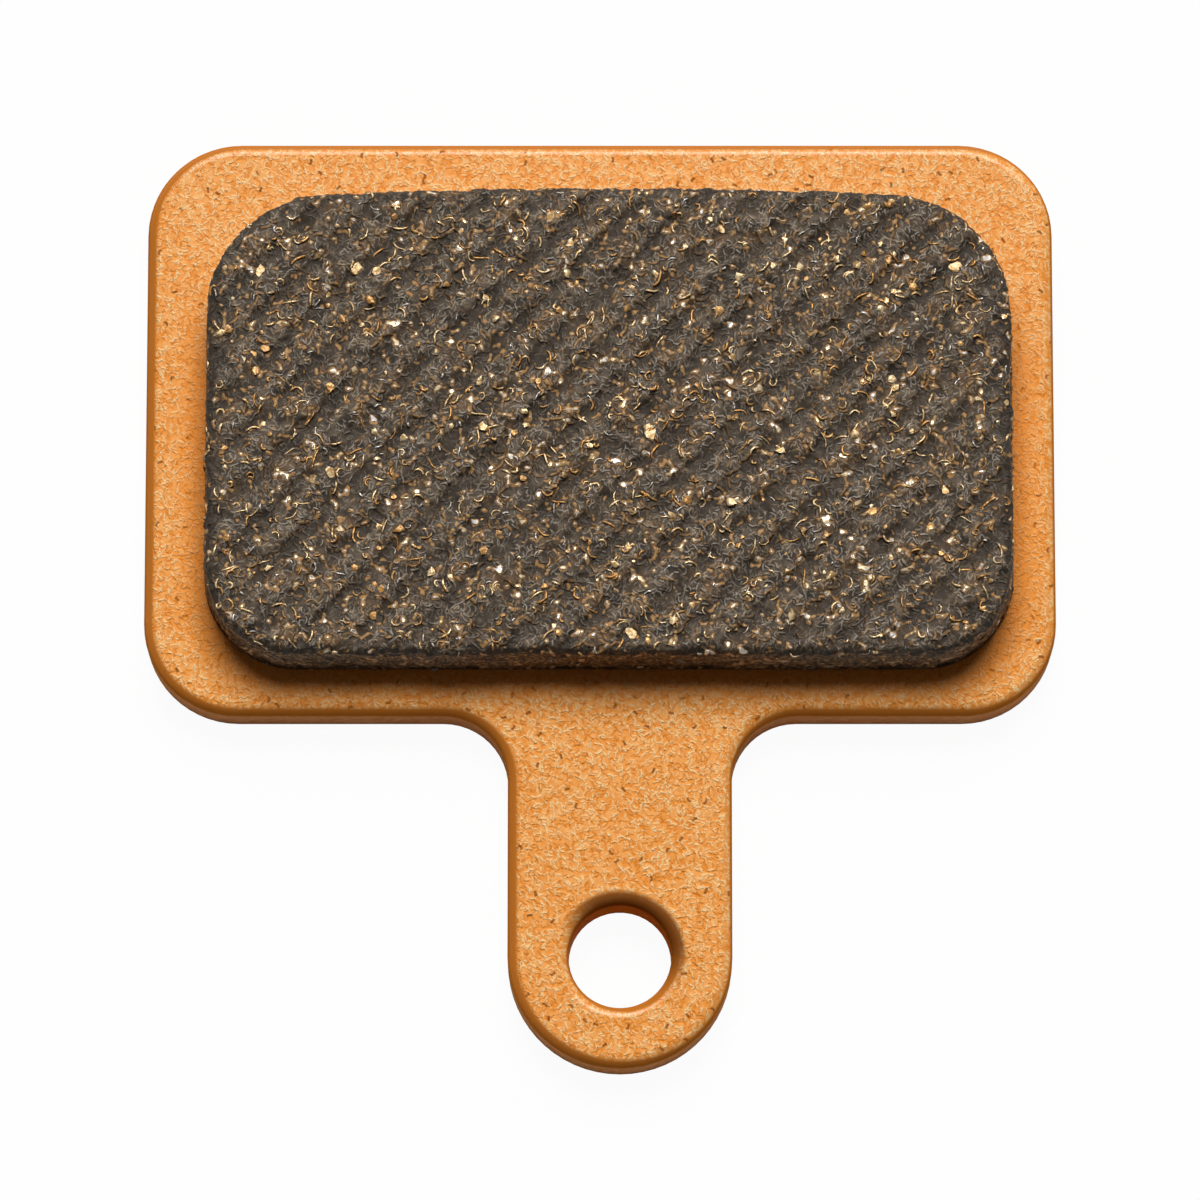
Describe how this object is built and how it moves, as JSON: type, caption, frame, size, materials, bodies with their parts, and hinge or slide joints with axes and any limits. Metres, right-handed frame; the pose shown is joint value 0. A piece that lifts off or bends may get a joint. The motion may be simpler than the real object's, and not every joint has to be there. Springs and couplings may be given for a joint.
{
  "type": "bicycle disc brake pad",
  "caption": "Bicycle disc brake pad: a copper-coloured steel backing plate with a hanging tab and pin hole, and a bonded friction block with a grooved face.",
  "frame": {"origin": "on the axis of the retaining-pin hole in the tab, at the plate's back face", "axes": "+X across the pad, +Y from the tab to the plate's outer edge, +Z from the back face to the friction face"},
  "size_m": [0.0286, 0.0295, 0.004],
  "materials": {
    "plated_steel": "copper-plated steel, satin with a fine matt grain and small dark pits, worn darker along the rims",
    "friction_compound": "dark grey moulded friction compound, granular and matt, full of copper, brass and steel flecks and curled fibres"
  },
  "bodies": {
    "root": {"backing_plate": "plated_steel", "friction_block": "friction_compound"}
  },
  "joints": []
}
